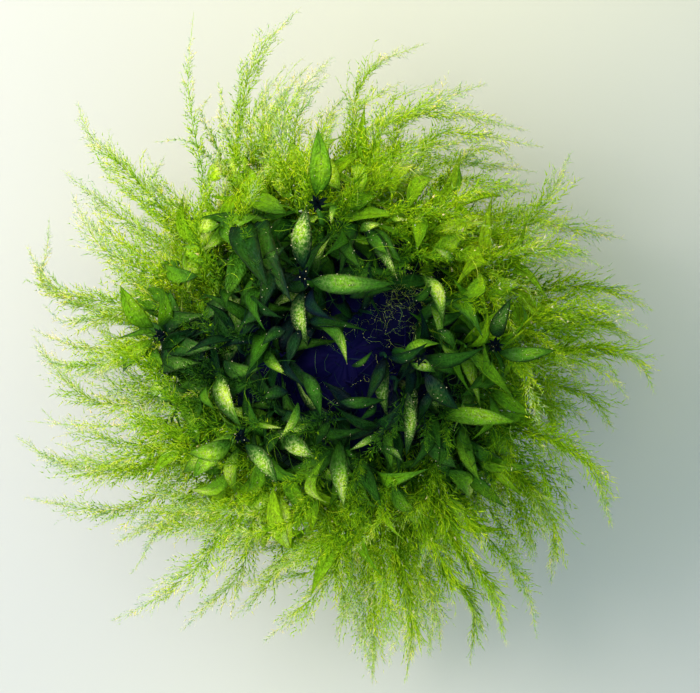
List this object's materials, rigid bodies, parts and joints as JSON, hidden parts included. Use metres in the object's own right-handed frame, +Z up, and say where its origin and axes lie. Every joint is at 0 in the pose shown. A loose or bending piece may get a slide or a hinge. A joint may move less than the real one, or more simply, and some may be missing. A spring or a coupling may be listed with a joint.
{
  "type": "moss ball",
  "caption": "Round ball of feathery water moss: a dark tangled middle, a crown of glossy pointed leaves and a swirling halo of feathery fronds, resting on a small flat spot.",
  "frame": {"origin": "centre of the flat spot that the ball rests on, at the height of the surface under it", "axes": "+Z up out of the ball's top, +X to the right and +Y to the top of the view from straight above"},
  "size_m": [0.0413, 0.0444, 0.0265],
  "materials": {
    "tangle": "dark felted tangle of old stems and threads, matte",
    "stem": "smooth olive-green stem",
    "leaf": "thin glossy translucent blade, dark green to yellow-green, with a keel and fine cells",
    "frond": "dense fine side hairs, translucent, deep green inside to pale yellow-green at the tip"
  },
  "bodies": {
    "root": {"tangle": "tangle", "stem_1": "stem", "stem_2": "stem", "stem_3": "stem", "stem_4": "stem", "stem_5": "stem", "stem_6": "stem", "leaf_01": "leaf", "leaf_02": "leaf", "leaf_03": "leaf", "leaf_04": "leaf", "leaf_05": "leaf", "leaf_06": "leaf", "leaf_07": "leaf", "leaf_08": "leaf", "leaf_09": "leaf", "leaf_10": "leaf", "leaf_11": "leaf", "leaf_12": "leaf", "leaf_13": "leaf", "leaf_14": "leaf", "leaf_15": "leaf", "leaf_16": "leaf", "leaf_17": "leaf", "leaf_18": "leaf", "leaf_19": "leaf", "leaf_20": "leaf", "leaf_21": "leaf", "leaf_22": "leaf", "frond_01": "frond", "frond_02": "frond", "frond_03": "frond", "frond_04": "frond", "frond_05": "frond", "frond_06": "frond", "frond_07": "frond", "frond_08": "frond", "frond_09": "frond", "frond_10": "frond", "frond_11": "frond", "frond_12": "frond", "frond_13": "frond", "frond_14": "frond", "frond_15": "frond", "frond_16": "frond", "frond_17": "frond", "frond_18": "frond", "frond_19": "frond", "frond_20": "frond", "frond_21": "frond", "frond_22": "frond", "frond_23": "frond", "frond_24": "frond", "frond_25": "frond", "frond_26": "frond", "frond_27": "frond", "frond_28": "frond", "frond_29": "frond", "frond_30": "frond", "frond_31": "frond"}
  },
  "joints": []
}
